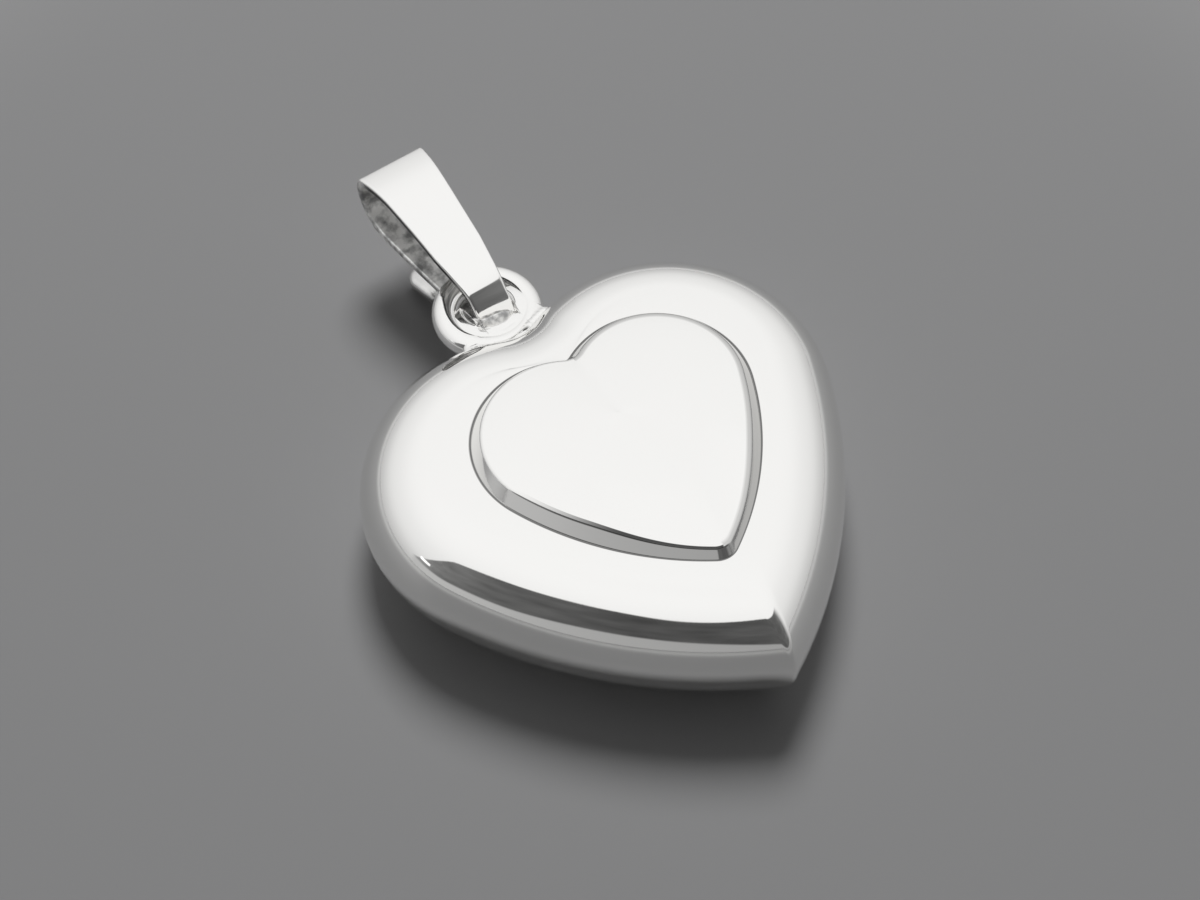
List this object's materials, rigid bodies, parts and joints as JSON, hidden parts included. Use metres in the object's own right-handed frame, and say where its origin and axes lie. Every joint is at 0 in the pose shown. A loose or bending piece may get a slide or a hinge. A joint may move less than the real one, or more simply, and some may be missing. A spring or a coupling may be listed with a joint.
{
  "type": "heart pendant",
  "caption": "Puffed hollow heart with a smaller raised heart on its front, a soldered ring in its cleft, and a tapered strap bail through the ring for a chain.",
  "frame": {"origin": "on the surface that the pendant lies on, under the middle of its box", "axes": "+Y from the heart's tip to the bail, +Z out of the heart's front face, +X to the right seen from the front with the bail at the top"},
  "size_m": [0.02, 0.0282, 0.0068],
  "materials": {
    "heart_silver": "mirror-polished silver",
    "bail_silver": "polished silver, duller on the inside of the strap"
  },
  "bodies": {
    "root": {"heart": "heart_silver", "bail": "bail_silver"}
  },
  "joints": []
}
